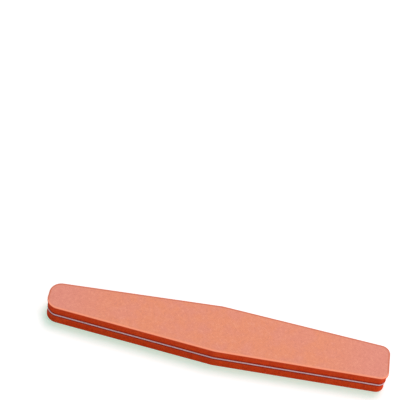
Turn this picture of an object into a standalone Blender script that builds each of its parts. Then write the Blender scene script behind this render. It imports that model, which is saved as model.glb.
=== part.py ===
"""Foam nail file: a long flat hexagon of two foam pads bonded to a plastic core, with grit on both faces.

The origin is at the middle of the lower grit face, +X runs along the file and +Z points up. Lengths are in
metres.
"""

import math

import bpy

# Plan of the abrasive sheets, the widest layers
FILE_LENGTH = 0.178
MIDDLE_WIDTH = 0.0287
ROUND_END_WIDTH = 0.0153
SQUARE_END_WIDTH = 0.0202
ROUND_END_RADIUS = 0.0063
SQUARE_END_RADIUS = 0.0046
MIDDLE_CORNER_RADIUS = 0.012

# Thickness of each layer, from the middle of the file outwards
CORE_THICKNESS = 0.001
CORE_ADHESIVE_THICKNESS = 0.0001
FOAM_THICKNESS = 0.0049
SHEET_ADHESIVE_THICKNESS = 0.0001
BACKING_THICKNESS = 0.00035
GRIT_THICKNESS = 0.0003

# Clearance between the faces of bonded layers
BOND_CLEARANCE = 0.00002

# The core board stops short of the sheets' edge. The cut foam leans from one to the other and draws in
# between them.
CORE_SET_BACK = 0.0002
FOAM_WAIST = 0.0003

# A film of adhesive stops short of the edge of the softer layer that it holds
ADHESIVE_INSET = 0.0003

# Rounding of the cut rims
CORE_RIM_RADIUS = 0.00015
GRIT_RIM_RADIUS = 0.0002

# Facets of the round stretches
CORNER_STEPS = 8
MIDDLE_CORNER_STEPS = 3
RIM_STEPS = 3
FOAM_WALL_STEPS = 6

# An end's corners keep this share of the radius that would make the end a half circle
FULLEST_CORNER_SHARE = 0.96

# Loose rims this close, as a share of the rounding, are joined before they are rounded
JOIN_SHARE = 0.02

# Layers on each side of the core board, from the core outwards: kind, set-back of the edge, thickness
SIDE_LAYERS = (
    ("core_adhesive", CORE_SET_BACK + ADHESIVE_INSET, CORE_ADHESIVE_THICKNESS),
    ("foam_pad", 0, FOAM_THICKNESS),
    ("sheet_adhesive", ADHESIVE_INSET, SHEET_ADHESIVE_THICKNESS),
    ("abrasive_backing", 0, BACKING_THICKNESS),
    ("grit_coat", 0, GRIT_THICKNESS),
)

# Colour and roughness of each kind of layer, none of them metal
FINISHES = {
    "core_board": ((0.66, 0.63, 0.72), 0.45),
    "core_adhesive": ((0.72, 0.62, 0.5), 0.35),
    "foam_pad": ((0.8, 0.14, 0.03), 0.9),
    "sheet_adhesive": ((0.72, 0.62, 0.5), 0.35),
    "abrasive_backing": ((0.85, 0.35, 0.2), 0.7),
    "grit_coat": ((0.78, 0.28, 0.17), 0.85),
}


def clear_scene():
    """Removes whatever the scene holds."""
    for old in list(bpy.data.objects):
        bpy.data.objects.remove(old, do_unlink=True)


def new_collection(name):
    """A collection linked to the scene."""
    made = bpy.data.collections.new(name)
    bpy.context.scene.collection.children.link(made)
    return made


def arc(centre_x, centre_y, radius, start, end, steps):
    """Points along an arc from one angle to another, both ends included."""
    angles = [start + (end - start) * step / steps for step in range(steps + 1)]
    return [(centre_x + radius * math.cos(angle), centre_y + radius * math.sin(angle)) for angle in angles]


def side_slope(end_width):
    """Angle between the file's axis and a long side that narrows from the middle to an end of that width."""
    return math.atan2(MIDDLE_WIDTH - end_width, FILE_LENGTH)


def end_corner(end_width, radius):
    """Radius of an end's corners, and their centre's distance from the file's axis."""
    slope = side_slope(end_width)
    rise = 1 / math.cos(slope) - math.tan(slope)
    fullest = end_width / 2 / rise
    used = min(radius, fullest * FULLEST_CORNER_SHARE)
    return used, end_width / 2 - used * rise


def middle_corner():
    """Centre of the arc that joins the two slopes of a long side at the middle of the file."""
    square_slope = side_slope(SQUARE_END_WIDTH)
    round_slope = side_slope(ROUND_END_WIDTH)
    spread = 1 / math.cos(round_slope) - 1 / math.cos(square_slope)
    along = MIDDLE_CORNER_RADIUS * spread / (math.tan(square_slope) + math.tan(round_slope))
    across = MIDDLE_WIDTH / 2 - MIDDLE_CORNER_RADIUS / math.cos(square_slope) - along * math.tan(square_slope)
    return along, across


def outline_points(set_back):
    """The file's outline in plan, moved inwards by set_back all round.

    Each corner is an arc about a centre that stays, so the set-back only shortens its radius. The narrower
    and rounder end lies at -X, and the wider and squarer end at +X.
    """
    half_length = FILE_LENGTH / 2
    square_turn = math.pi / 2 - side_slope(SQUARE_END_WIDTH)
    round_turn = math.pi / 2 + side_slope(ROUND_END_WIDTH)
    square_radius, square_y = end_corner(SQUARE_END_WIDTH, SQUARE_END_RADIUS)
    round_radius, round_y = end_corner(ROUND_END_WIDTH, ROUND_END_RADIUS)
    middle_x, middle_y = middle_corner()
    middle_radius = MIDDLE_CORNER_RADIUS - set_back
    square_x = half_length - square_radius
    round_x = round_radius - half_length

    far_side = arc(square_x, square_y, square_radius - set_back, 0, square_turn, CORNER_STEPS)
    far_side += arc(middle_x, middle_y, middle_radius, square_turn, round_turn, MIDDLE_CORNER_STEPS)
    far_side += arc(round_x, round_y, round_radius - set_back, round_turn, math.pi, CORNER_STEPS)
    near_side = [(x, -y) for x, y in reversed(far_side)]
    return far_side + near_side


def flat_curve(name, points, closed, collection):
    """A flat curve object of straight runs through the points."""
    data = bpy.data.curves.new(name, "CURVE")
    data.dimensions = "2D"
    spline = data.splines.new("POLY")
    spline.points.add(len(points) - 1)
    for point, (x, y) in zip(spline.points, points):
        point.co = (x, y, 0, 1)
    spline.use_cyclic_u = closed
    made = bpy.data.objects.new(name, data)
    collection.objects.link(made)
    return made


def wall_section(name, points, collection):
    """A guide for a cut side: x runs inwards from the outline, and y runs away from the core board."""
    section = flat_curve(name, points, False, collection)
    section.hide_render = True
    section.display_type = "WIRE"
    return section


def foam_wall(collection):
    """Section of a pad's side: it leans out from the core board's edge to the sheet's, a little hollow."""
    shares = [step / FOAM_WALL_STEPS for step in range(FOAM_WALL_STEPS + 1)]
    points = [
        (CORE_SET_BACK * (1 - share) + FOAM_WAIST * math.sin(math.pi * share), FOAM_THICKNESS * share)
        for share in shares
    ]
    return wall_section("foam_wall", points, collection)


def grit_wall(collection):
    """Section of a grit coat's side, with a rounded outer rim."""
    shoulder = GRIT_THICKNESS - GRIT_RIM_RADIUS
    rim = arc(GRIT_RIM_RADIUS, shoulder, GRIT_RIM_RADIUS, math.pi, math.pi / 2, RIM_STEPS)
    return wall_section("grit_wall", [(0, 0), *rim], collection)


def give_finish(layer, kind):
    """Gives a layer a material of its own."""
    colour, roughness = FINISHES[kind]
    material = bpy.data.materials.new(layer.name)
    material.use_nodes = True
    shader = material.node_tree.nodes["Principled BSDF"]
    shader.inputs["Base Color"].default_value = (*colour, 1)
    shader.inputs["Roughness"].default_value = roughness
    shader.inputs["Metallic"].default_value = 0
    layer.data.materials.append(material)


def add_layer(name, kind, set_back, thickness, inner_z, section, stack, collection):
    """A layer of the file whose inner face lies at inner_z above its stack's plane.

    Its side is upright, or follows the section where there is one.
    """
    layer = flat_curve(name, outline_points(set_back), True, collection)
    layer.data.fill_mode = "BOTH"
    layer.parent = stack
    if section:
        layer.data.bevel_mode = "OBJECT"
        layer.data.bevel_object = section
        layer.location.z = inner_z
    else:
        layer.data.extrude = thickness / 2
        layer.location.z = inner_z + thickness / 2
    give_finish(layer, kind)
    return layer


def round_rims(layer, radius):
    """Rounds both rims of an upright layer, once its caps are joined to its side."""
    join = layer.modifiers.new("join_caps", "WELD")
    join.merge_threshold = radius * JOIN_SHARE
    rounding = layer.modifiers.new("round_rims", "BEVEL")
    rounding.width = radius
    rounding.segments = RIM_STEPS
    rounding.limit_method = "ANGLE"
    rounding.angle_limit = math.pi / 3


def add_side(side, turn, middle_z, sections, collection):
    """The layers on one side of the core board, hung on an empty at the middle of the file."""
    stack = bpy.data.objects.new(side + "_stack", None)
    stack.location.z = middle_z
    stack.rotation_euler.x = turn
    collection.objects.link(stack)
    inner_z = CORE_THICKNESS / 2
    for kind, set_back, thickness in SIDE_LAYERS:
        inner_z += BOND_CLEARANCE
        add_layer(f"{side}_{kind}", kind, set_back, thickness, inner_z, sections.get(kind), stack, collection)
        inner_z += thickness


def main():
    """Builds the core board and the two sides, the lower one turned over."""
    clear_scene()
    parts = new_collection("nail_file")
    guides = new_collection("guides")
    sections = {"foam_pad": foam_wall(guides), "grit_coat": grit_wall(guides)}
    middle_z = CORE_THICKNESS / 2 + sum(thickness + BOND_CLEARANCE for _, _, thickness in SIDE_LAYERS)
    core_z = middle_z - CORE_THICKNESS / 2
    core = add_layer("core_board", "core_board", CORE_SET_BACK, CORE_THICKNESS, core_z, None, None, parts)
    round_rims(core, CORE_RIM_RADIUS)
    add_side("upper", 0, middle_z, sections, parts)
    add_side("lower", math.pi, middle_z, sections, parts)


if __name__ == "__main__":
    main()
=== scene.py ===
"""Looks of a foam nail file: two cut foam pads on a plastic core board, with an abrasive sheet on each face.

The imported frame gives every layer's place. Each sub-assembly is a class that builds its pieces and dresses
them. Lengths are in metres, +X runs along the file towards its squarer end and +Z points up.
"""

import logging
import math
import random
from dataclasses import dataclass, field
from enum import Enum
from typing import Optional, Union

import bmesh
import bpy
from mathutils import Matrix, Vector, noise


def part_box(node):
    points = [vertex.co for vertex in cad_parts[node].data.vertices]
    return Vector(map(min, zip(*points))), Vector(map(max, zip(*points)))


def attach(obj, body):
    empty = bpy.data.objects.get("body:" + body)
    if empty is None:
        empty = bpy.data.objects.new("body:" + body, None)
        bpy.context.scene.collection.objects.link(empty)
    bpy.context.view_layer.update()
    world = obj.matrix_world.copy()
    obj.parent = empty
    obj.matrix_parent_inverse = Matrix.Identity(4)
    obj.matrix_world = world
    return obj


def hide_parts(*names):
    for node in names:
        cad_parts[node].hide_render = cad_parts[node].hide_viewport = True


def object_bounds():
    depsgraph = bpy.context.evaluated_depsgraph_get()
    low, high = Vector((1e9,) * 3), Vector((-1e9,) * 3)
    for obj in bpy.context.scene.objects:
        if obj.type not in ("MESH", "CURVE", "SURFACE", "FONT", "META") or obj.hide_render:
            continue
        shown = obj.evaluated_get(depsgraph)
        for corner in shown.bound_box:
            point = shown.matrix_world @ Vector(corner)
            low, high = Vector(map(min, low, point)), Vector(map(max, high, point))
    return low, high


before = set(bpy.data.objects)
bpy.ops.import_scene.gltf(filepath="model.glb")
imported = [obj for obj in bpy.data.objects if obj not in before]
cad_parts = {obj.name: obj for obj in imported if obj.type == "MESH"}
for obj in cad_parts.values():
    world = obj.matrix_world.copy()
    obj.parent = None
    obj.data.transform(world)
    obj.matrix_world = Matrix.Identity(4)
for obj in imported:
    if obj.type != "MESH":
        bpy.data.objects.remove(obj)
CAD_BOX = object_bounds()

LOG = logging.getLogger("nail_file")
BODY = "root"

# Numbers that each side's random choices start from
UPPER_SEED, LOWER_SEED = 11, 29

# Distance within which two vertices are one, and the least level part of a direction that isn't upright
SAME_PLACE = 1e-7
LEAST_ACROSS = 1e-6

# The profile that makes a corner round, and the share of an edge's length that counts as none
ROUND_PROFILE = 0.5
SLACK = 0.01

# The screen's colour curve: a straight toe, and a power above it
FULL_CHANNEL = 255
TOE_END, TOE_SLOPE = 0.04045, 12.92
CURVE_OFFSET, CURVE_POWER = 0.055, 2.4

# Places of the colour sockets on a mixing node
MIX_SHARE, MIX_FIRST, MIX_SECOND, MIX_RESULT = 0, 6, 7, 2

Socket = bpy.types.NodeSocket


class Slot(Enum):
    """The record's material slots."""

    CORE = "core_plastic"
    GLUE = "adhesive"
    FOAM = "foam"
    PAPER = "backing_sheet"
    GRIT = "grit"


class Side(Enum):
    """The two sides of the core board."""

    UPPER = "upper"
    LOWER = "lower"

    def node(self, kind: str) -> str:
        """Name of this side's layer or piece of that kind."""
        return f"{self.value}_{kind}"

    def seed(self) -> int:
        """A number of its own for this side's random choices."""
        return UPPER_SEED if self is Side.UPPER else LOWER_SEED


class Mark(Enum):
    """Names of the values that a mesh hands to its finish, each from 0 to 1 at every vertex."""

    # Painted highlight along the bed's long rim at -Y
    RIM = "rim"
    # Painted shade along the bed's other rims
    RIM_SHADE = "rim_shade"
    CUT = "cut"
    # Open cells, which the foam's finish paints in shade
    HOLLOW = "hollow"
    # Painted shade in the foam beside the core board
    SEAM_SHADE = "seam_shade"
    TINT = "tint"


@dataclass(frozen=True)
class Tone:
    """A colour as it looks on screen, each channel from 0 to 255."""

    red: int
    green: int
    blue: int

    def linear(self) -> tuple[float, float, float, float]:
        """The colour as a shader takes it, with full alpha."""
        shares = [channel / FULL_CHANNEL for channel in (self.red, self.green, self.blue)]
        curved = [((share + CURVE_OFFSET) / (1 + CURVE_OFFSET)) ** CURVE_POWER for share in shares]
        lit = [share / TOE_SLOPE if share <= TOE_END else on_curve for share, on_curve in zip(shares, curved)]
        return (*lit, 1.0)


# Plan and layers


@dataclass(frozen=True)
class FileEnd:
    """One end of the file in plan.

    Attributes:
        place: Place of the end's line along the file.
        width: Width at that line, before the corners are rounded.
        radius: Radius of its two corners.
        slope: Angle between the file's axis and a long side that runs to this end.
    """

    place: float
    width: float
    radius: float
    slope: float

    @property
    def rise(self) -> float:
        """How far a corner moves across the file for each unit that the outline moves inwards."""
        return 1 / math.cos(self.slope) - math.tan(self.slope)

    @property
    def arc_centre(self) -> Vector:
        """Centre of the corner at +Y, as distances from the middle and from the axis."""
        return Vector((abs(self.place) - self.radius, self.width / 2 - self.radius * self.rise))

    def corner(self, set_back: float) -> tuple[float, float]:
        """Place of the corner at +Y, before it is rounded, with the outline moved inwards."""
        return math.copysign(abs(self.place) - set_back, self.place), self.width / 2 - set_back * self.rise

    def arc_half_width(self, x: float, set_back: float) -> float:
        """Half the plan's width where the corners' arcs run, or zero past the end."""
        along = abs(x) - self.arc_centre.x
        reach = (self.radius - set_back) ** 2 - along**2
        return self.arc_centre.y + math.sqrt(reach) if reach > 0 else 0.0


@dataclass(frozen=True)
class FilePlan:
    """Outline of the whole file in plan, an elongated hexagon with rounded corners.

    Attributes:
        length: Length of the abrasive sheets, the widest layers.
        middle_width: Width at the middle, before the corner there is rounded.
        round_width: Width at the end at -X, before its corners are rounded.
        square_width: Width at the end at +X, before its corners are rounded.
        round_radius: Radius of the two corners at -X.
        square_radius: Radius of the two corners at +X.
        middle_radius: Radius of the corners at the middle.
    """

    length: float
    middle_width: float = 0.0287
    round_width: float = 0.0153
    square_width: float = 0.0202
    round_radius: float = 0.0063
    square_radius: float = 0.0046
    middle_radius: float = 0.012

    def end(self, sign: int) -> FileEnd:
        """The end at +X for 1, or at -X for -1."""
        width, radius = self.round_width, self.round_radius
        if sign > 0:
            width, radius = self.square_width, self.square_radius
        slope = math.atan2(self.middle_width - width, self.length)
        return FileEnd(sign * self.length / 2, width, radius, slope)

    def end_near(self, x: float) -> FileEnd:
        """The end that the file's half at x runs to."""
        return self.end(1 if x > 0 else -1)

    def middle_corner(self, set_back: float) -> tuple[float, float]:
        """Place of the middle corner at +Y, before it is rounded, with the outline moved inwards."""
        square, rounder = self.end(1).slope, self.end(-1).slope
        spread = 1 / math.cos(rounder) - 1 / math.cos(square)
        along = set_back * spread / (math.tan(square) + math.tan(rounder))
        return along, self.middle_width / 2 - set_back / math.cos(square) - along * math.tan(square)

    def half_width(self, x: float, set_back: float) -> float:
        """Half the plan's width at x with the outline moved inwards, or zero past the end."""
        end = self.end_near(x)
        if abs(x) - end.arc_centre.x > (end.radius - set_back) * math.sin(end.slope):
            return end.arc_half_width(x, set_back)
        return self.middle_width / 2 - abs(x) * math.tan(end.slope) - set_back / math.cos(end.slope)

    def depth_inside(self, place: Vector) -> float:
        """Distance from a place on the file to the nearest side or end of the outline."""
        end = self.end_near(place.x)
        past = Vector((abs(place.x), abs(place.y))) - end.arc_centre
        if past.x > 0 and past.y > 0:
            return end.radius - past.length
        across = (self.half_width(place.x, 0.0) - abs(place.y)) * math.cos(end.slope)
        return min(across, self.length / 2 - abs(place.x))

    def add_face(self, bm: bmesh.types.BMesh, set_back: float, pitch: float) -> None:
        """Adds the plan to an empty mesh as one flat face at z = 0.

        Args:
            bm: The mesh that takes the face.
            set_back: How far the outline is moved inwards.
            pitch: Longest edge that the outline keeps.
        """
        square, rounder = self.end(1), self.end(-1)
        far_side = [square.corner(set_back), self.middle_corner(set_back), rounder.corner(set_back)]
        far = [bm.verts.new((x, y, 0)) for x, y in far_side]
        near = [bm.verts.new((x, -y, 0)) for x, y in reversed(far_side)]
        bm.faces.new(far + near)
        rounding = (
            (self.square_radius, math.pi / 2 - square.slope),
            (self.middle_radius, square.slope + rounder.slope),
            (self.round_radius, math.pi / 2 - rounder.slope),
        )
        for pair, (radius, turn) in zip(zip(far, reversed(near)), rounding):
            used = radius - set_back
            bmesh.ops.bevel(
                bm, geom=list(pair), offset=used * math.tan(turn / 2), offset_type="OFFSET",
                segments=math.ceil(used * turn / pitch), profile=ROUND_PROFILE, affect="VERTICES",
                clamp_overlap=False, material=-1,
            )
        for edge in [edge for edge in bm.edges if edge.calc_length() > pitch]:
            bmesh.ops.subdivide_edges(bm, edges=[edge], cuts=math.ceil(edge.calc_length() / pitch) - 1)


@dataclass(frozen=True)
class Layer:
    """Place of one layer, measured outwards from the middle plane of the core board.

    Attributes:
        node: The CAD node that the layer stands for.
        inner: Distance of its inner face from the middle plane.
        outer: Distance of its outer face from the middle plane.
        set_back: How far its edge lies inside the plan's outline.
    """

    node: str
    inner: float
    outer: float
    set_back: float

    @classmethod
    def from_frame(cls, node: str, plan: FilePlan) -> "Layer":
        """Reads the layer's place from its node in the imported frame."""
        low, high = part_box(node)
        reach = sorted((abs(low.z - middle_height()), abs(high.z - middle_height())))
        return cls(node, reach[0], reach[1], (plan.length - (high.x - low.x)) / 2)

    @property
    def thickness(self) -> float:
        """Thickness of the layer."""
        return self.outer - self.inner


def middle_height() -> float:
    """Height of the core board's middle plane."""
    low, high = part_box("core_board")
    return (low.z + high.z) / 2


# Shaping


def rim_rows(steps: int) -> list[tuple[float, float]]:
    """Reach and drop of each row of a rounded rim, as shares of its radius, from the face's edge outwards."""
    turns = [math.pi / 2 * step / steps for step in range(steps + 1)]
    return [(math.sin(turn), 1 - math.cos(turn)) for turn in turns]


class Shape:
    """A mesh in the making, built as for the upper side, with its heights taken from the middle plane."""

    def __init__(self) -> None:
        """Starts with an empty mesh."""
        self.bm = bmesh.new()

    @classmethod
    def from_plan(cls, plan: FilePlan, set_back: float, pitch: float, height: float = 0.0) -> "Shape":
        """Starts with the file's plan as one level face.

        Args:
            plan: The file's plan.
            set_back: How far the outline is moved inwards.
            pitch: Longest edge that the outline keeps.
            height: Height of the face.

        Returns:
            The shape.
        """
        shape = cls()
        plan.add_face(shape.bm, set_back, pitch)
        shape.lift(height)
        return shape

    def lift(self, height: float, verts: Optional[list[bmesh.types.BMVert]] = None) -> None:
        """Moves the given vertices, or all of them, upwards."""
        bmesh.ops.translate(self.bm, verts=verts or self.bm.verts, vec=(0, 0, height))

    def value(self, name: Mark) -> bmesh.types.BMLayerItem:
        """The vertex value of that name, made at the first call."""
        layers = self.bm.verts.layers.float
        return layers.get(name.value) or layers.new(name.value)

    def open_rim(self) -> list[bmesh.types.BMEdge]:
        """The edges round the mesh's open rim."""
        return [edge for edge in self.bm.edges if edge.is_boundary]

    @staticmethod
    def outward(vert: bmesh.types.BMVert) -> Vector:
        """The level direction that points away from the file at a vertex of the open rim."""
        ends = [edge.other_vert(vert).co for edge in vert.link_edges if edge.is_boundary]
        along = ends[0] - ends[1]
        across = Vector((along.y, -along.x, 0)).normalized()
        return across if across.dot(vert.co) > 0 else -across

    def grow_rim(self, step: float, height: float) -> list[bmesh.types.BMVert]:
        """Extrudes the open rim by one row.

        Args:
            step: How far the new row lies outside the last one.
            height: Height of the new row.

        Returns:
            The vertices of the new row.
        """
        made = bmesh.ops.extrude_edge_only(self.bm, edges=self.open_rim())
        row = [item for item in made["geom"] if isinstance(item, bmesh.types.BMVert)]
        moves = {vert: self.outward(vert) * step for vert in row}
        for vert, move in moves.items():
            vert.co += move
            vert.co.z = height
        return row

    def close_rim(self) -> None:
        """Closes the open rim with one face."""
        bmesh.ops.contextual_create(self.bm, geom=self.open_rim())

    def finish(self, name: str, side: Side, crease: float = 0.7) -> bpy.types.Object:
        """Turns the mesh into a piece of the file.

        Args:
            name: The piece's name.
            side: The side of the core board that the piece lies on.
            crease: Angle above which an edge stays sharp.

        Returns:
            The piece, with its place in its mesh.
        """
        bmesh.ops.remove_doubles(self.bm, verts=self.bm.verts, dist=SAME_PLACE)
        bmesh.ops.recalc_face_normals(self.bm, faces=self.bm.faces)
        for face in self.bm.faces:
            face.smooth = True
        for edge in self.bm.edges:
            edge.smooth = not edge.is_manifold or edge.calc_face_angle(0) < crease
        if side is Side.LOWER:
            turned_over = Matrix.Rotation(math.pi, 3, "X")
            bmesh.ops.rotate(self.bm, verts=self.bm.verts, cent=(0, 0, 0), matrix=turned_over)
        self.lift(middle_height())
        mesh = bpy.data.meshes.new(name)
        self.bm.to_mesh(mesh)
        self.bm.free()
        piece = bpy.data.objects.new(name, mesh)
        bpy.context.scene.collection.objects.link(piece)
        return piece


def fit_piece(piece: bpy.types.Object, material: bpy.types.Material, slot: Slot, *nodes: str) -> None:
    """Dresses a piece and tells the frame what it is.

    Args:
        piece: The finished piece.
        material: Its finish.
        slot: The record's slot that the finish belongs to.
        nodes: The CAD nodes that the piece stands for.
    """
    piece.data.materials.append(material)
    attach(piece, BODY)
    if nodes:
        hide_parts(*nodes)
    triangles = sum(len(face.vertices) - 2 for face in piece.data.polygons)
    stands_for = nodes or "no node"
    LOG.info("%s: %d triangles, slot %s, stands for %s", piece.name, triangles, slot.value, stands_for)


# Finishes


class Nodes:
    """A node tree, with short calls for what the finishes and the studio add to it."""

    def __init__(self, tree: bpy.types.NodeTree) -> None:
        """Takes the tree."""
        self.tree = tree

    def feed(self, node: bpy.types.Node, inputs: dict) -> None:
        """Sets or links a node's named or numbered inputs, each to a value or a socket."""
        for name, given in inputs.items():
            if isinstance(given, Socket):
                self.tree.links.new(given, node.inputs[name])
            else:
                node.inputs[name].default_value = given

    def add(self, kind: str, inputs: dict, **settings: object) -> bpy.types.Node:
        """Adds a node.

        Args:
            kind: The node's type.
            inputs: A value or a socket for each named or numbered input.
            settings: The node's own settings.

        Returns:
            The node.
        """
        node = self.tree.nodes.new(kind)
        for name, setting in settings.items():
            setattr(node, name, setting)
        self.feed(node, inputs)
        return node

    def maths(self, kind: str, *values: object) -> Socket:
        """Sum, product or the like of one to three values."""
        return self.add("ShaderNodeMath", dict(enumerate(values)), operation=kind).outputs[0]

    def blend(self, share: object, first: object, second: object) -> Socket:
        """Mixes two colours, the share telling how much of the second one shows."""
        inputs = {MIX_SHARE: share, MIX_FIRST: first, MIX_SECOND: second}
        return self.add("ShaderNodeMix", inputs, data_type="RGBA").outputs[MIX_RESULT]


class FinishNodes(Nodes):
    """The node tree of one finish, on the object's own coordinates."""

    def __init__(self, name: str) -> None:
        """Starts a material of that name with its shader."""
        self.material = bpy.data.materials.new(name)
        self.material.use_nodes = True
        super().__init__(self.material.node_tree)
        self.shader = self.tree.nodes["Principled BSDF"]
        self.place = self.add("ShaderNodeTexCoord", {}).outputs["Object"]
        self.drawn: dict["Pattern", Socket] = {}

    def value(self, pattern: "Pattern") -> Socket:
        """The pattern's value, drawn at the first call."""
        if pattern not in self.drawn:
            self.drawn[pattern] = pattern.draw(self)
        return self.drawn[pattern]


class Pattern:
    """A value that varies over a finish, mostly from 0 to 1."""

    def draw(self, nodes: FinishNodes) -> Socket:
        """Adds the pattern to a finish."""
        raise NotImplementedError


@dataclass(frozen=True)
class Clouds(Pattern):
    """Soft noise.

    Attributes:
        size: Size of its features.
        detail: Number of finer rounds of noise in it.
        scale: Scale along each axis.
        finer: Strength of each finer round, as a share of the last one.
    """

    size: float
    detail: float = 2
    scale: tuple[float, float, float] = (1, 1, 1)
    finer: float = 0.6

    def draw(self, nodes: FinishNodes) -> Socket:
        """Adds the noise."""
        place = nodes.add("ShaderNodeMapping", {"Vector": nodes.place, "Scale": self.scale}).outputs["Vector"]
        inputs = {"Vector": place, "Scale": 1 / self.size, "Detail": self.detail, "Roughness": self.finer}
        return nodes.add("ShaderNodeTexNoise", inputs).outputs["Fac"]


@dataclass(frozen=True)
class Cells(Pattern):
    """Close-set cells, as the distance to the nearest one's middle or wall in cell sizes.

    Attributes:
        size: Size of a cell.
        from_wall: Whether the distance is taken from the wall.
    """

    size: float
    from_wall: bool = False

    def draw(self, nodes: FinishNodes) -> Socket:
        """Adds the cells."""
        inputs = {"Vector": nodes.place, "Scale": 1 / self.size}
        feature = "DISTANCE_TO_EDGE" if self.from_wall else "F1"
        return nodes.add("ShaderNodeTexVoronoi", inputs, feature=feature).outputs["Distance"]


@dataclass(frozen=True)
class Handed(Pattern):
    """A value that the mesh hands to the finish."""

    mark: Mark

    def draw(self, nodes: FinishNodes) -> Socket:
        """Adds the mesh's value."""
        return nodes.add("ShaderNodeAttribute", {}, attribute_name=self.mark.value).outputs["Fac"]


@dataclass(frozen=True)
class FromMiddle(Pattern):
    """Distance along the file from its middle."""

    def draw(self, nodes: FinishNodes) -> Socket:
        """Adds the distance."""
        along = nodes.add("ShaderNodeSeparateXYZ", {0: nodes.place}).outputs["X"]
        return nodes.maths("ABSOLUTE", along)


@dataclass(frozen=True)
class Fade(Pattern):
    """Another pattern made into a share.

    Attributes:
        source: The other pattern.
        low: Its value where the share is none.
        high: Its value where the share is full, which may be the lesser of the two.
        top: The full share.
    """

    source: Pattern
    low: float
    high: float
    top: float = 1.0

    def draw(self, nodes: FinishNodes) -> Socket:
        """Adds the smooth rise from none to the full share."""
        value = nodes.value(self.source)
        inputs = {"Value": value, "From Min": self.low, "From Max": self.high, "To Max": self.top}
        return nodes.add("ShaderNodeMapRange", inputs, interpolation_type="SMOOTHSTEP").outputs["Result"]


@dataclass(frozen=True)
class Run(Pattern):
    """Another pattern, made to run from least to greatest where it ran from 0 to 1."""

    source: Pattern
    least: float
    greatest: float

    def draw(self, nodes: FinishNodes) -> Socket:
        """Adds the stretched values."""
        return nodes.maths("MULTIPLY_ADD", nodes.value(self.source), self.greatest - self.least, self.least)


class Join(Enum):
    """How two patterns become one."""

    PRODUCT = "MULTIPLY"
    GREATER = "MAXIMUM"


@dataclass(frozen=True)
class Pair(Pattern):
    """Two patterns as one."""

    join: Join
    first: Pattern
    second: Pattern

    def draw(self, nodes: FinishNodes) -> Socket:
        """Adds both patterns and joins them."""
        return nodes.maths(self.join.value, nodes.value(self.first), nodes.value(self.second))


@dataclass(frozen=True)
class Wash:
    """A tone laid over a finish, as far as its pattern says."""

    tone: Tone
    pattern: Pattern


@dataclass(frozen=True)
class Relief:
    """A pattern that stands out of a finish, and the depth between its lows and highs."""

    pattern: Pattern
    depth: float


@dataclass(frozen=True)
class Finish:
    """What every finish of the file has.

    Attributes:
        base: Tone under all the others.
        washes: The tones over it, in order.
        reliefs: The reliefs, each laid over the last one.
        roughness: An even roughness, or the pattern of an uneven one.
        gloss: Strength of the reflections.
    """

    base: Tone
    washes: tuple[Wash, ...]
    roughness: Union[float, Pattern]
    gloss: float = 0.5
    reliefs: tuple[Relief, ...] = ()

    def inputs(self, nodes: FinishNodes) -> dict:
        """A value or a socket for each of the shader's inputs that the finish sets."""
        colour, rough = self.base.linear(), self.roughness
        for wash in self.washes:
            colour = nodes.blend(nodes.value(wash.pattern), colour, wash.tone.linear())
        given = {"Base Color": colour, "Specular IOR Level": self.gloss}
        given["Roughness"] = nodes.value(rough) if isinstance(rough, Pattern) else rough
        for relief in self.reliefs:
            bump = {"Height": nodes.value(relief.pattern), "Distance": relief.depth, "Strength": 1.0}
            if "Normal" in given:
                bump["Normal"] = given["Normal"]
            given["Normal"] = nodes.add("ShaderNodeBump", bump).outputs["Normal"]
        return given

    def material(self, name: str) -> bpy.types.Material:
        """Makes the finish's material."""
        nodes = FinishNodes(name)
        nodes.feed(nodes.shader, self.inputs(nodes))
        return nodes.material


@dataclass(frozen=True)
class FoamFinish(Finish):
    """Saturated orange foam, matt, with painted shade in its open cells and beside the core board, and
    streaked a little by the blade.
    """

    # A deeper orange, for the blade's streaks and for painted shade in the cells
    DEEP = Tone(198, 39, 5)
    STREAKS = Clouds(0.0016, 3, (1, 1, 0.25))
    FINE_CELLS = Cells(0.00028, from_wall=True)

    base: Tone = Tone(242, 73, 12)
    washes: tuple[Wash, ...] = (
        # Lighter, dusty patches, and the blade's streaks
        Wash(Tone(248, 98, 30), Fade(Clouds(0.006), 0.4, 0.7, 0.35)),
        Wash(DEEP, Fade(STREAKS, 0.45, 0.75, 0.3)),
        # Painted shade in the opened cells, beside the core board and in the insides of the fine cells
        Wash(DEEP, Fade(Handed(Mark.HOLLOW), 0.2, 1, 0.8)),
        Wash(Tone(158, 32, 8), Fade(Handed(Mark.SEAM_SHADE), 0, 0.7, 0.85)),
        Wash(DEEP, Fade(FINE_CELLS, 0.02, 0.3, 0.25)),
    )
    # Streaks, and the walls of the fine cells
    reliefs: tuple[Relief, ...] = (Relief(STREAKS, 0.000084), Relief(Fade(FINE_CELLS, 0.3, 0.02), 0.00007))
    roughness: float = 0.92
    gloss: float = 0.2


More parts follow.
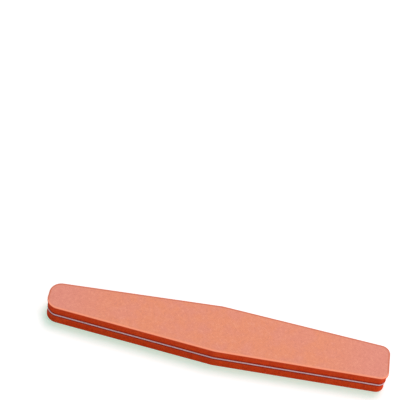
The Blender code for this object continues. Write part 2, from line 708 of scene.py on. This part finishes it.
@dataclass(frozen=True)
class GritFinish(Finish):
    """Salmon resin packed with fine abrasive, matt and mottled, with a painted highlight on its long rim at
    -Y and painted shade on its other rims.
    """

    PALE = Tone(242, 169, 141)
    DARK = Tone(208, 122, 102)
    PINK_ENDS = Fade(FromMiddle(), 0.045, 0.085, 0.9)
    PINK_PATCHES = Fade(Clouds(0.009, 3), 0.35, 0.65, 0.55)
    MOTTLING = Clouds(0.0011, 3)
    SPECKS = Cells(0.0005)
    FINEST_GRIT = Clouds(0.0002, 3)

    base: Tone = Tone(231, 142, 106)
    washes: tuple[Wash, ...] = (
        Wash(Tone(223, 139, 125), Pair(Join.GREATER, PINK_ENDS, PINK_PATCHES)),
        Wash(PALE, Fade(MOTTLING, 0.52, 0.7, 0.4)),
        Wash(DARK, Fade(MOTTLING, 0.48, 0.3, 0.45)),
        Wash(PALE, Fade(SPECKS, 0.3, 0.1, 0.3)),
        Wash(PALE, Fade(FINEST_GRIT, 0.52, 0.66, 0.6)),
        Wash(DARK, Fade(FINEST_GRIT, 0.48, 0.34, 0.6)),
        # Painted shade on the far rim and the ends, a painted highlight on the long rim at -Y, and the cut
        # side
        Wash(Tone(206, 112, 82), Fade(Handed(Mark.RIM_SHADE), 0.1, 0.6, 0.85)),
        Wash(Tone(255, 158, 122), Fade(Handed(Mark.RIM), 0.15, 0.9, 0.9)),
        Wash(Tone(238, 76, 26), Fade(Handed(Mark.CUT), 0.1, 0.6)),
    )
    reliefs: tuple[Relief, ...] = (Relief(SPECKS, 0.00004), Relief(FINEST_GRIT, 0.00008))
    roughness: Pattern = Run(Fade(FINEST_GRIT, 0.2, 0.8), 0.65, 0.9)
    gloss: float = 0.3


@dataclass(frozen=True)
class GrainFinish(Finish):
    """Abrasive grains, each with a shade of its own and a dull glint on its facets."""

    OWN_NUMBER = Handed(Mark.TINT)
    LIGHT = Tone(238, 160, 130)
    DULL_PATCHES = Clouds(0.0004)

    # From the darkest grain to the palest, with lighter patches
    base: Tone = Tone(206, 116, 94)
    washes: tuple[Wash, ...] = (
        Wash(Tone(228, 142, 114), Fade(OWN_NUMBER, 0, 0.25)),
        Wash(LIGHT, Fade(OWN_NUMBER, 0.25, 0.7)),
        Wash(Tone(252, 206, 180), Fade(OWN_NUMBER, 0.75, 1)),
        Wash(LIGHT, Fade(DULL_PATCHES, 0.4, 0.7, 0.35)),
    )
    roughness: Pattern = Run(DULL_PATCHES, 0.27, 0.57)


@dataclass(frozen=True)
class PaperFinish(Finish):
    """Orange backing sheet, matt, fibrous and a little ragged where it is cut."""

    FIBRES = Clouds(0.0003, 4, (0.3, 0.3, 1.6))

    base: Tone = Tone(234, 74, 24)
    washes: tuple[Wash, ...] = (
        Wash(Tone(244, 96, 46), Fade(FIBRES, 0.42, 0.66)),
        # Plainer patches, where fewer fibres show
        Wash(base, Fade(Clouds(0.004), 0.5, 0.75, 0.3)),
    )
    reliefs: tuple[Relief, ...] = (Relief(FIBRES, 0.00006),)
    roughness: float = 0.85
    gloss: float = 0.25


@dataclass(frozen=True)
class CoreFinish(Finish):
    """Pale lavender-grey plastic sheet, satin, with fine marks of the die and a little foam dust.

    Attributes:
        glow: Share of the light that the plastic lets in.
        glow_depth: How deep that light goes.
        glow_reach: How deep each colour of it goes, as shares of that depth.
    """

    DIE_MARKS = Clouds(0.00035, 3, (1, 1, 0.15))
    DUST_SPECKS = Fade(Clouds(0.0007, 3), 0.55, 0.72)
    DUSTY_PATCHES = Fade(Clouds(0.009), 0.4, 0.65, 0.7)

    base: Tone = Tone(240, 200, 206)
    washes: tuple[Wash, ...] = (
        Wash(Tone(212, 176, 188), Fade(DIE_MARKS, 0.4, 0.68)),
        Wash(Tone(238, 150, 112), Pair(Join.PRODUCT, DUST_SPECKS, DUSTY_PATCHES)),
    )
    reliefs: tuple[Relief, ...] = (Relief(DIE_MARKS, 0.00004),)
    roughness: Pattern = Run(DIE_MARKS, 0.28, 0.58)
    glow: float = 0.05
    glow_depth: float = 0.001
    glow_reach: tuple[float, float, float] = (1.0, 0.9, 0.95)

    def inputs(self, nodes: FinishNodes) -> dict:
        """The shader's inputs, with those for the light that the plastic lets in."""
        return super().inputs(nodes) | {
            "Subsurface Weight": self.glow, "Subsurface Scale": self.glow_depth,
            "Subsurface Radius": self.glow_reach,
        }


@dataclass(frozen=True)
class GlueFinish(Finish):
    """Thin film of yellowish adhesive, glossy in patches, with foam dust stuck to it."""

    DUST = Clouds(0.0011, 3)

    base: Tone = Tone(206, 150, 96)
    washes: tuple[Wash, ...] = (Wash(Tone(206, 84, 40), Fade(DUST, 0.45, 0.6)),)
    reliefs: tuple[Relief, ...] = (Relief(DUST, 0.00003),)
    roughness: Pattern = Run(Fade(DUST, 0.4, 0.7), 0.3, 0.8)


# Sub-assemblies


@dataclass
class CoreBoard:
    """The thin plastic sheet that keeps the file straight.

    Attributes:
        plan: The file's plan.
        rim_radius: Rounding that the die leaves on both rims.
        rim_steps: Rows of faces round each rim.
        pitch: Longest edge along the outline.
        finish: The plastic's finish.
    """

    plan: FilePlan
    rim_radius: float = 0.00015
    rim_steps: int = 3
    pitch: float = 0.0005
    finish: CoreFinish = field(default_factory=CoreFinish)

    def build(self) -> None:
        """Builds the board and dresses it."""
        layer = Layer.from_frame("core_board", self.plan)
        shape = Shape.from_plan(self.plan, layer.set_back + self.rim_radius, self.pitch, layer.outer)
        upper = [(reach, layer.outer - drop * self.rim_radius) for reach, drop in rim_rows(self.rim_steps)]
        rows = upper + [(reach, -height) for reach, height in reversed(upper)]
        for (last, _), (reach, height) in zip(rows, rows[1:]):
            shape.grow_rim((reach - last) * self.rim_radius, height)
        shape.close_rim()
        piece = shape.finish("core_sheet", Side.UPPER)
        fit_piece(piece, self.finish.material("core_plastic"), Slot.CORE, layer.node)


@dataclass
class FoamPad:
    """One foam pad, bonded on both faces, its cut sides leaning out from the core board to the sheet.

    Attributes:
        plan: The file's plan.
        side: The side of the core board that it lies on.
        waist: How far its sides hollow at half their height.
        cell: Size of the cells that the blade opened.
        cell_wall: Thickness of a cell's wall, as a share of its size.
        cell_slope: Width of its sloping rim, as the same share.
        cell_depth: Depth of an opened cell.
        swell: Size of the slow swells on the sides, in cells.
        swell_depth: Greatest depth of a swell, as a share of a cell's depth.
        swell_height: Greatest height of a swell, as the same share.
        bonded: Share of the pad's height beside each face over which cells and swells die out.
        seam_shade: Height above the core board over which painted shade darkens the foam.
        pitch: Size of the faces on its sides.
        finish: The foam's finish.
    """

    plan: FilePlan
    side: Side
    waist: float = 0.0003
    cell: float = 0.0006
    cell_wall: float = 0.08
    cell_slope: float = 0.5
    cell_depth: float = 0.00011
    swell: float = 6.0
    swell_depth: float = 0.35
    swell_height: float = 0.3
    bonded: float = 1 / 12
    seam_shade: float = 0.0013
    pitch: float = 0.00018
    finish: FoamFinish = field(default_factory=FoamFinish)

    def build(self) -> None:
        """Builds the pad and dresses it."""
        layer = Layer.from_frame(self.side.node("foam_pad"), self.plan)
        lean = Layer.from_frame("core_board", self.plan).set_back - layer.set_back
        shape = Shape.from_plan(self.plan, layer.set_back, self.pitch, layer.inner)
        risen = bmesh.ops.extrude_face_region(shape.bm, geom=list(shape.bm.faces))["geom"]
        shape.lift(layer.thickness, [item for item in risen if isinstance(item, bmesh.types.BMVert)])
        heights = {edge: abs(edge.verts[0].co.z - edge.verts[1].co.z) for edge in shape.bm.edges}
        uprights = [edge for edge, height in heights.items() if height > self.pitch]
        rows = round(layer.thickness / self.pitch)
        bmesh.ops.subdivide_edges(shape.bm, edges=uprights, cuts=rows - 1, use_grid_fill=True)
        bmesh.ops.recalc_face_normals(shape.bm, faces=shape.bm.faces)
        self.open_cells(shape, layer, lean)
        piece = shape.finish(self.side.node("cut_foam"), self.side)
        fit_piece(piece, self.finish.material(self.side.node("foam")), Slot.FOAM, layer.node)

    def open_cells(self, shape: Shape, layer: Layer, lean: float) -> None:
        """Leans and hollows the pad's sides and opens the foam's cells in them.

        Args:
            shape: The pad's mesh.
            layer: The pad's place.
            lean: How much further in the sides lie at the core board than at the sheet.
        """
        hollow, seam_shade = shape.value(Mark.HOLLOW), shape.value(Mark.SEAM_SHADE)
        shift = Vector((self.side.seed(), 0, 0))
        moves = {}
        for vert in shape.bm.verts:
            share = (vert.co.z - layer.inner) / layer.thickness
            free = min(1.0, share / self.bonded, (1 - share) / self.bonded)
            near, next_near = noise.voronoi(vert.co / self.cell + shift)[0][:2]
            opened = min(1.0, max(0.0, (next_near - near - self.cell_wall) / self.cell_slope)) * free
            swell = noise.noise(vert.co / (self.cell * self.swell) + shift) * self.swell_depth * free
            drawn_in = lean * (1 - share) + self.waist * math.sin(math.pi * share)
            depth = drawn_in + self.cell_depth * (opened + max(swell, -self.swell_height))
            outward = Vector((vert.normal.x, vert.normal.y, 0))
            if outward.length > LEAST_ACROSS:
                moves[vert] = -outward.normalized() * max(depth, 0.0)
            # The finish paints shade in the opened cells and in the foam beside the core board
            vert[hollow] = opened
            vert[seam_shade] = max(0.0, 1 - (vert.co.z - layer.inner) / self.seam_shade)
        for vert, move in moves.items():
            vert.co += move


@dataclass
class AbrasiveSheet:
    """One abrasive sheet: a backing, the bed of resin and fine grit on it, and the grains that stand proud.

    Attributes:
        plan: The file's plan.
        side: The side of the core board that it lies on.
        pitch: Size of the bed's faces.
        backing_rows: Rows of faces up the backing's cut edge.
        ragged: How far that edge is ragged, as a share of the relief.
        rim_radius: Rounding of the bed's outer rim.
        rim_steps: Rows of faces round that rim.
        lump: Size of the bed's lumps.
        relief: Height of the lumps.
        small_lump: Size of the smaller lumps, as a share of a lump's.
        small_relief: Their height, as the same share.
        highlight_width: Width of the painted highlight along the long rim at -Y.
        highlight_from: Share of half the file's width at which the painted highlight begins.
        highlight_fade: Share of half the file's width over which it grows.
        rim_shade: Width of the painted shade along the other rims.
        proud: How far the tallest grains stand above the bed.
        paper: Finish of the backing.
        bed: Finish of the bed.
    """

    plan: FilePlan
    side: Side
    pitch: float = 0.00026
    backing_rows: int = 4
    ragged: float = 2.0
    rim_radius: float = 0.00018
    rim_steps: int = 3
    lump: float = 0.0006
    relief: float = 0.000022
    small_lump: float = 0.45
    small_relief: float = 0.6
    highlight_width: float = 0.002
    highlight_from: float = 0.65
    highlight_fade: float = 0.25
    rim_shade: float = 0.0013
    proud: float = 0.00007
    paper: PaperFinish = field(default_factory=PaperFinish)
    bed: GritFinish = field(default_factory=GritFinish)

    def build(self) -> None:
        """Builds the backing, the bed and the grains, and dresses them."""
        coat = Layer.from_frame(self.side.node("grit_coat"), self.plan)
        self.build_backing()
        self.build_bed(coat)
        LooseGrains(self.plan, self.side, self.proud, coat.set_back + self.rim_radius).build(coat.outer)

    def build_backing(self) -> None:
        """Builds the backing sheet, its cut edge a little ragged."""
        layer = Layer.from_frame(self.side.node("abrasive_backing"), self.plan)
        shape = Shape.from_plan(self.plan, layer.set_back, self.pitch, layer.outer)
        for row in reversed(range(self.backing_rows)):
            shape.grow_rim(0, layer.inner + layer.thickness * row / self.backing_rows)
        shape.close_rim()
        bmesh.ops.recalc_face_normals(shape.bm, faces=shape.bm.faces)
        shift = Vector((self.side.seed(), 0, 0))
        for vert in shape.bm.verts:
            level = Vector((vert.normal.x, vert.normal.y, 0)).normalized()
            torn = min(noise.noise(vert.co / self.lump + shift), 0.0)
            vert.co += level * torn * self.relief * self.ragged
        piece = shape.finish(self.side.node("backing_paper"), self.side)
        fit_piece(piece, self.paper.material(self.side.node("backing")), Slot.PAPER, layer.node)

    def build_bed(self, coat: Layer) -> None:
        """Builds the bed of resin and grit, a fine grid of lumps with a rounded rim.

        Args:
            coat: Place of the whole grit coat.
        """
        shape = self.bed_grid(coat.set_back + self.rim_radius)
        top = coat.outer - self.proud
        shift = Vector((0, 0, self.side.seed()))
        rim, rim_shade, cut = (shape.value(mark) for mark in (Mark.RIM, Mark.RIM_SHADE, Mark.CUT))
        for vert in shape.bm.verts:
            lumps = noise.noise(vert.co / self.lump + shift)
            lumps += self.small_relief * noise.noise(vert.co / (self.lump * self.small_lump) + shift)
            used, depth = self.near_rim_share(vert.co), self.plan.depth_inside(vert.co)
            # A painted highlight along the long rim at -Y and painted shade along the other rims, both fading
            # inwards from the edge
            vert[rim] = used * max(0.0, 1 - depth / self.highlight_width)
            vert[rim_shade] = (1 - used) * max(0.0, 1 - depth / self.rim_shade)
            vert.co.z = top + self.relief * lumps
        rows = rim_rows(self.rim_steps)
        for (last, _), (reach, drop) in zip(rows, rows[1:]):
            for vert in shape.grow_rim((reach - last) * self.rim_radius, top - drop * self.rim_radius):
                # The rounded rim takes the painted highlight or the painted shade in full
                used = self.near_rim_share(vert.co)
                vert[rim], vert[rim_shade], vert[cut] = used, 1 - used, drop
        for vert in shape.grow_rim(0, coat.inner):
            vert[rim], vert[cut] = 1, 1
        shape.close_rim()
        piece = shape.finish(self.side.node("grit_bed"), self.side)
        fit_piece(piece, self.bed.material(self.side.node("grit")), Slot.GRIT, coat.node)

    def bed_grid(self, set_back: float) -> Shape:
        """The plan as a fine grid: its two long sides, bridged by rows of faces.

        Args:
            set_back: How far the outline is moved inwards.

        Returns:
            The grid, level at z = 0.
        """
        shape = Shape.from_plan(self.plan, set_back, self.pitch)
        bmesh.ops.delete(shape.bm, geom=list(shape.bm.faces), context="FACES_ONLY")
        at_end = max(vert.co.x for vert in shape.bm.verts) - self.pitch * SLACK
        ends = [edge for edge in shape.bm.edges if all(abs(vert.co.x) > at_end for vert in edge.verts)]
        bmesh.ops.delete(shape.bm, geom=ends, context="EDGES")
        sides = list(shape.bm.edges)
        bmesh.ops.bridge_loops(shape.bm, edges=sides)
        side_set = set(sides)
        across = [edge for edge in shape.bm.edges if edge not in side_set]
        rows = math.ceil(self.plan.middle_width / self.pitch)
        bmesh.ops.subdivide_edges(shape.bm, edges=across, cuts=rows - 1, use_grid_fill=True)
        return shape

    def near_rim_share(self, place: Vector) -> float:
        """Share of the painted highlight at a place, against the painted shade: full along the long rim at
        -Y, and none along the other rims.
        """
        half = max(self.plan.half_width(place.x, 0.0), self.pitch)
        return min(1.0, max(0.0, (-place.y / half - self.highlight_from) / self.highlight_fade))


@dataclass
class LooseGrains:
    """The grains that stand proud of one bed of resin.

    Attributes:
        plan: The file's plan.
        side: The side of the core board that they lie on.
        proud: How far the tallest stand above the bed.
        set_back: How far the bed's flat stretch lies inside the plan's outline.
        spacing: Distance between neighbouring grains.
        jitter: Greatest distance of a grain from its even place, as a share of the spacing.
        sizes: Least and greatest radius of a grain.
        patterns: Number of different grains.
        waist_corners: Corners round a grain's middle, between the one on top and the one below.
        corners: Least and greatest reach of a grain's corners, as shares of its radius.
        flatness: Height of a grain as a share of its width.
        tilt: Greatest tilt of a grain, in radians.
        sunk: Greatest extra depth of a grain, as a share of how far it may stand proud.
        finish: The grains' finish.
    """

    plan: FilePlan
    side: Side
    proud: float
    set_back: float
    spacing: float = 0.00075
    jitter: float = 0.45
    sizes: tuple[float, float] = (0.00009, 0.00019)
    patterns: int = 6
    waist_corners: int = 4
    corners: tuple[float, float] = (0.65, 1.1)
    flatness: float = 0.7
    tilt: float = 0.5
    sunk: float = 0.6
    finish: GrainFinish = field(default_factory=GrainFinish)

    def make_patterns(self, dice: random.Random) -> list[bpy.types.Mesh]:
        """A few broken grains of unit size, which all the others are turned copies of."""
        made = []
        for number in range(self.patterns):
            bm = bmesh.new()
            bmesh.ops.create_uvsphere(bm, u_segments=self.waist_corners, v_segments=2, radius=1)
            for vert in bm.verts:
                vert.co *= dice.uniform(*self.corners)
            bmesh.ops.scale(bm, verts=bm.verts, vec=(1, 1, self.flatness))
            mesh = bpy.data.meshes.new(f"grain_pattern_{number}")
            bm.to_mesh(mesh)
            bm.free()
            made.append(mesh)
        return made

    def build(self, outer: float) -> None:
        """Scatters grains over the bed, up to the height of the coat's outer face."""
        dice = random.Random(self.side.seed())
        patterns = self.make_patterns(dice)
        shape = Shape()
        tint = shape.value(Mark.TINT)
        margin = self.set_back + self.sizes[1]
        columns = int(self.plan.length / self.spacing)
        rows = int(self.plan.middle_width / self.spacing)
        for column in range(-columns // 2, columns // 2 + 1):
            for row in range(-rows // 2, rows // 2 + 1):
                x = (column + dice.uniform(-self.jitter, self.jitter)) * self.spacing
                y = (row + dice.uniform(-self.jitter, self.jitter)) * self.spacing
                if abs(x) > self.plan.length / 2 - margin or abs(y) > self.plan.half_width(x, margin):
                    continue
                self.add_grain(shape, dice.choice(patterns), Vector((x, y, outer)), dice)
        corner_count = len(patterns[0].vertices)
        for number, vert in enumerate(shape.bm.verts):
            vert[tint] = noise.cell(Vector((number // corner_count, self.side.seed(), 0)))
        for pattern in patterns:
            bpy.data.meshes.remove(pattern)
        piece = shape.finish(self.side.node("grit_grains"), self.side, crease=0)
        fit_piece(piece, self.finish.material(self.side.node("grains")), Slot.GRIT)

    def add_grain(self, shape: Shape, pattern: bpy.types.Mesh, place: Vector, dice: random.Random) -> None:
        """Adds one grain, turned at random, its top at or just under the coat's outer face.

        Args:
            shape: The grains' mesh.
            pattern: The grain that is copied.
            place: Where the grain stands, on the coat's outer face.
            dice: Source of the random choices.
        """
        size = dice.uniform(*self.sizes)
        turned = Matrix.Rotation(dice.uniform(0, math.tau), 4, "Z")
        tilted = Matrix.Rotation(dice.uniform(-self.tilt, self.tilt), 4, "X")
        grown = turned @ tilted @ Matrix.Scale(size, 4)
        highest = max((grown @ vert.co).z for vert in pattern.vertices)
        sunk = highest + dice.uniform(0, self.proud * self.sunk)
        move = Matrix.Translation(place - Vector((0, 0, sunk))) @ grown
        pattern.transform(move)
        shape.bm.from_mesh(pattern)
        pattern.transform(move.inverted())


@dataclass
class GlueFilms:
    """The four adhesive films, kept as the CAD has them.

    Attributes:
        kinds: The kinds of film on each side.
        finish: Their finish.
    """

    kinds: tuple[str, ...] = ("core_adhesive", "sheet_adhesive")
    finish: GlueFinish = field(default_factory=GlueFinish)

    def dress(self) -> None:
        """Gives the films their finish."""
        material = self.finish.material("adhesive_film")
        for side in Side:
            for kind in self.kinds:
                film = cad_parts[side.node(kind)]
                for slot in film.material_slots:
                    slot.material = material
                LOG.info("%s: dressed as it stands", film.name)


# Studio


@dataclass(frozen=True)
class Lamp:
    """A soft square lamp that faces the file.

    Attributes:
        name: Its name.
        power: Its power.
        side: Length of its sides.
        place: Where it hangs.
    """

    name: str
    power: float
    side: float
    place: tuple[float, float, float]

    def hang(self) -> None:
        """Hangs the lamp in its place."""
        lamp = bpy.data.lights.new(self.name, "AREA")
        lamp.energy = self.power
        lamp.size = self.side
        holder = bpy.data.objects.new(self.name, lamp)
        holder.location = self.place
        holder.rotation_mode = "QUATERNION"
        holder.rotation_quaternion = Vector(self.place).to_track_quat("Z", "Y")
        bpy.context.scene.collection.objects.link(holder)


@dataclass
class Studio:
    """The pale floor, the soft lamps and the camera.

    Attributes:
        floor_size: Half the floor's side.
        floor_faces: Faces along each of the floor's sides.
        floor_bounce: Share of the light that the floor throws back on the file.
        floor_lit: Colour of the floor's lit part, as the camera sees it.
        floor_shade: Colour that stays in the floor's deepest shade, as the camera sees it.
        sky: Strength of the even light from all round.
        key: The lamp above and behind the file.
        fill: The weaker lamp in front of it, to the right.
        camera_place: Place of the camera.
        azimuth: Compass turn of the view from +Y towards +X, in degrees.
        elevation: How far the view looks down, in degrees.
        roll: Turn of the picture, in degrees.
        focal_share: Focal length as a share of the picture's width.
        nearest: Distance within which the camera sees nothing.
    """

    floor_size: float = 0.45
    floor_faces: int = 8
    floor_bounce: float = 0.7
    floor_lit: tuple[float, float, float] = (1.0, 0.62, 0.78)
    floor_shade: tuple[float, float, float] = (0.16, 0.5, 0.36)
    sky: float = 0.38
    key: Lamp = Lamp("key_lamp", 28.5, 1.1, (0.25, 0.8, 2.0))
    fill: Lamp = Lamp("fill_lamp", 20.0, 0.8, (2.1, -0.38, 0.6))
    camera_place: tuple[float, float, float] = (-0.01997, -0.35559, 0.51667)
    azimuth: float = -0.406
    elevation: float = 48.986
    roll: float = -11.325
    focal_share: float = 3.0
    nearest: float = 0.01

    def build(self) -> None:
        """Sets up the floor, the light and the camera."""
        bpy.context.scene.view_settings.view_transform = "Standard"
        self.lay_floor()
        self.light_sky()
        self.key.hang()
        self.fill.hang()
        self.place_camera()

    @staticmethod
    def seen_directly(nodes: Nodes) -> Socket:
        """One for rays from the camera and for mirrored or passing rays, and otherwise zero."""
        rays = nodes.add("ShaderNodeLightPath", {}).outputs
        mirrored = nodes.maths("MAXIMUM", rays["Is Camera Ray"], rays["Is Glossy Ray"])
        return nodes.maths("MAXIMUM", mirrored, rays["Is Transmission Ray"])

    def lay_floor(self) -> None:
        """Lays a pale floor that keeps the file's shadow."""
        bm = bmesh.new()
        faces = self.floor_faces
        bmesh.ops.create_grid(bm, x_segments=faces, y_segments=faces, size=self.floor_size)
        bmesh.ops.translate(bm, verts=bm.verts, vec=(0, 0, CAD_BOX[0].z))
        mesh = bpy.data.meshes.new("floor")
        bm.to_mesh(mesh)
        bm.free()
        floor = bpy.data.objects.new("floor", mesh)
        bpy.context.scene.collection.objects.link(floor)
        nodes = FinishNodes("floor_paper")
        direct = self.seen_directly(nodes)
        bounced = (self.floor_bounce, self.floor_bounce, self.floor_bounce, 1)
        nodes.feed(nodes.shader, {
            "Base Color": nodes.blend(direct, bounced, (*self.floor_lit, 1)), "Roughness": 1,
            "Specular IOR Level": 0, "Emission Color": (*self.floor_shade, 1), "Emission Strength": direct,
        })
        floor.data.materials.append(nodes.material)

    def light_sky(self) -> None:
        """Lights the scene evenly from all round, with white behind it."""
        world = bpy.data.worlds.new("studio")
        bpy.context.scene.world = world
        world.use_nodes = True
        nodes = Nodes(world.node_tree)
        span = {"Value": self.seen_directly(nodes), "To Min": self.sky, "To Max": 1}
        strength = nodes.add("ShaderNodeMapRange", span).outputs["Result"]
        nodes.feed(nodes.tree.nodes["Background"], {"Color": (1, 1, 1, 1), "Strength": strength})

    def place_camera(self) -> None:
        """Places the camera at the photograph's viewing angle."""
        data = bpy.data.cameras.new("camera")
        data.lens = data.sensor_width * self.focal_share
        data.clip_start = self.nearest
        camera = bpy.data.objects.new("camera", data)
        bpy.context.scene.collection.objects.link(camera)
        turn = (
            Matrix.Rotation(-math.radians(self.azimuth), 4, "Z")
            @ Matrix.Rotation(math.pi / 2 - math.radians(self.elevation), 4, "X")
            @ Matrix.Rotation(-math.radians(self.roll), 4, "Z")
        )
        camera.matrix_world = Matrix.Translation(self.camera_place) @ turn
        bpy.context.scene.camera = camera


def main() -> None:
    """Builds the file from the core outwards, and the studio round it."""
    logging.basicConfig(level=logging.INFO, format="%(message)s")
    plan = FilePlan(length=CAD_BOX[1].x - CAD_BOX[0].x)
    CoreBoard(plan).build()
    for side in Side:
        FoamPad(plan, side).build()
        AbrasiveSheet(plan, side).build()
    GlueFilms().dress()
    Studio().build()


if __name__ == "__main__":
    main()
